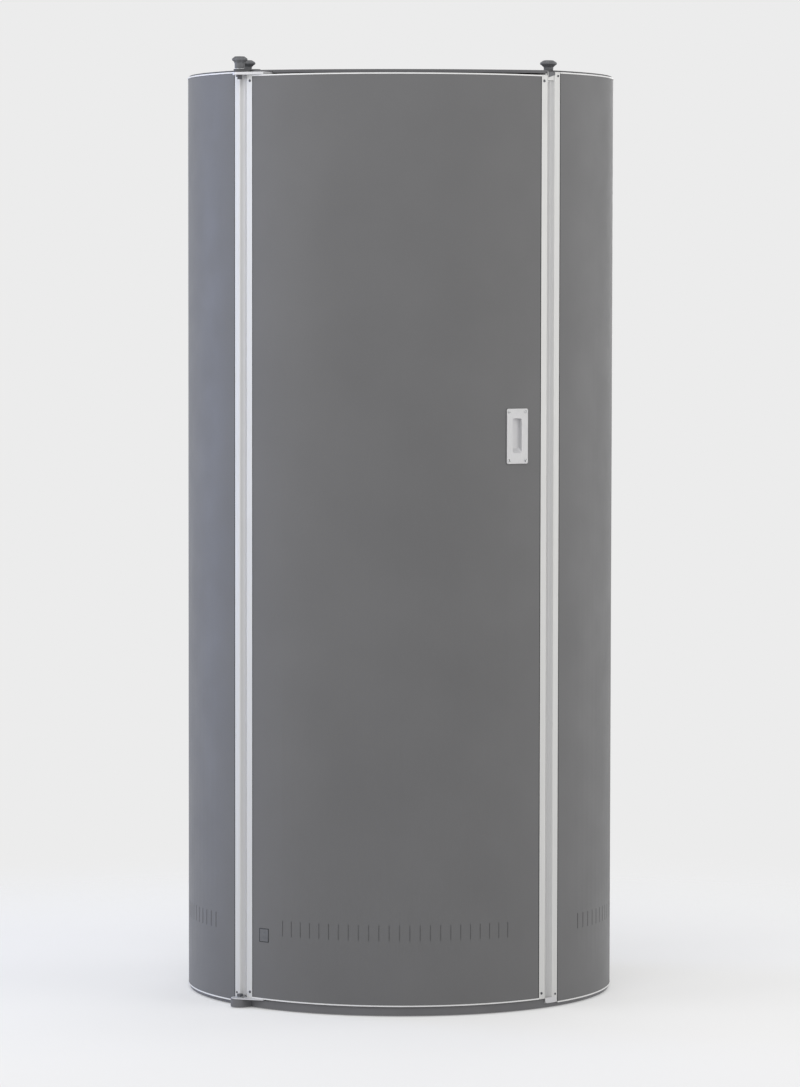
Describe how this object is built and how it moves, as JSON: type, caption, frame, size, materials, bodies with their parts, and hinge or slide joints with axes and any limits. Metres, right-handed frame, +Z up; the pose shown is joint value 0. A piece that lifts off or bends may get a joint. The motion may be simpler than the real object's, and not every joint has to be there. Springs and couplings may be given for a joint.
{
  "type": "vertical tanning booth",
  "caption": "Stand-up tanning booth: round metal cabinet with a hinged curved door, lamp walls behind clear shields, ceiling exhaust fan, grab handles and start and stop buttons.",
  "frame": {"origin": "on the floor at the booth's vertical axis", "axes": "+Z up; the door faces -Y; -X is the hinge side"},
  "size_m": [1.0022, 1.002, 2.1806],
  "materials": {
    "base_enamel": "dark grey powder coat",
    "rubber_foot": "matte",
    "mat_rubber": "ribbed matte",
    "post_aluminium": "satin silver",
    "skin_paint": "satin grey metallic powder coat",
    "trim_white": "satin light grey",
    "screw_steel": "blackened",
    "washer_steel": "zinc plated",
    "ceiling_white": "white powder coat",
    "fan_plastic": "matte black",
    "lamp_glass": "phosphor coated",
    "lamp_cap": "satin",
    "holder_plastic": "white",
    "reflector": "bright rolled",
    "acrylic": "clear",
    "ballast_case": "white enamel",
    "knob_plastic": "moulded dark grey",
    "control_plastic": "textured grey",
    "grab_bar": "satin",
    "plate_aluminium": "satin",
    "handle_aluminium": "satin",
    "bush_brass": "turned",
    "button_green": "gloss",
    "button_red": "gloss"
  },
  "bodies": {
    "cabinet": {"base_tray": "base_enamel", "feet": "rubber_foot", "floor_mat": "mat_rubber", "hinge_post": "post_aluminium", "latch_post": "post_aluminium", "rear_posts": "post_aluminium", "left_panel": "skin_paint", "right_panel": "skin_paint", "rear_panel": "skin_paint", "panel_edge_trims": "trim_white", "post_screws": "screw_steel", "roof_panel": "base_enamel", "roof_studs": "screw_steel", "roof_washers": "washer_steel", "ceiling_panel": "ceiling_white", "ceiling_spacers": "washer_steel", "ceiling_grille": "ceiling_white", "fan_shroud": "fan_plastic", "fan_motor": "fan_plastic", "fan_guard": "screw_steel", "cabinet_lamp_rails": "ceiling_white", "cabinet_lamps": "lamp_glass", "cabinet_lamp_caps": "lamp_cap", "cabinet_lampholders": "holder_plastic", "cabinet_reflectors": "reflector", "left_shield": "acrylic", "right_shield": "acrylic", "rear_shield": "acrylic", "ballasts": "ballast_case", "junction_box": "fan_plastic", "cable_gland": "knob_plastic", "control_box": "control_plastic", "grab_handle_left": "grab_bar", "grab_handle_right": "grab_bar", "hinge_lugs": "base_enamel", "hinge_pins": "screw_steel", "door_catches": "knob_plastic"},
    "door": {"door_panel": "skin_paint", "door_edge_trims": "trim_white", "door_hinge_stile": "post_aluminium", "door_latch_stile": "post_aluminium", "door_rails": "ceiling_white", "door_hinge_plates": "plate_aluminium", "hinge_bushes": "bush_brass", "door_screws": "screw_steel", "pull_handle": "handle_aluminium", "inner_pull": "grab_bar", "catch_strikes": "washer_steel", "door_lamps": "lamp_glass", "door_lamp_caps": "lamp_cap", "door_lampholders": "holder_plastic", "door_reflector": "reflector", "door_shield": "acrylic"},
    "fan_rotor": {"fan_impeller": "fan_plastic"},
    "left_roof_knob": {"roof_knob_left": "knob_plastic"},
    "right_roof_knob": {"roof_knob_right": "knob_plastic"},
    "top_hinge_knob": {"hinge_knob": "knob_plastic"},
    "start_push": {"start_button": "button_green"},
    "stop_push": {"stop_button": "button_red"}
  },
  "joints": [
    {"name": "door_hinge", "type": "hinge", "parent": "cabinet", "child": "door", "pos_m": [-0.35873, -0.36251, 0.02], "axis": [0, 0, -1], "range_deg": [0, 118]},
    {"name": "fan_spin", "type": "hinge", "parent": "cabinet", "child": "fan_rotor", "pos_m": [0, 0, 2.11], "axis": [0, 0, 1], "continuous": true},
    {"name": "left_roof_knob_turn", "type": "hinge", "parent": "cabinet", "child": "left_roof_knob", "pos_m": [-0.34505, -0.3042, 2.16], "axis": [0, 0, 1], "continuous": true},
    {"name": "right_roof_knob_turn", "type": "hinge", "parent": "cabinet", "child": "right_roof_knob", "pos_m": [0.34505, -0.3042, 2.16], "axis": [0, 0, 1], "continuous": true},
    {"name": "hinge_knob_turn", "type": "hinge", "parent": "cabinet", "child": "top_hinge_knob", "pos_m": [-0.35873, -0.36251, 2.16], "axis": [0, 0, 1], "continuous": true},
    {"name": "start_press", "type": "slide", "parent": "cabinet", "child": "start_push", "axis": [0.7071, 0.7071, 0], "range_m": [0, 0.003], "stiffness_N_per_m": 400},
    {"name": "stop_press", "type": "slide", "parent": "cabinet", "child": "stop_push", "axis": [0.7071, 0.7071, 0], "range_m": [0, 0.003], "stiffness_N_per_m": 400}
  ]
}
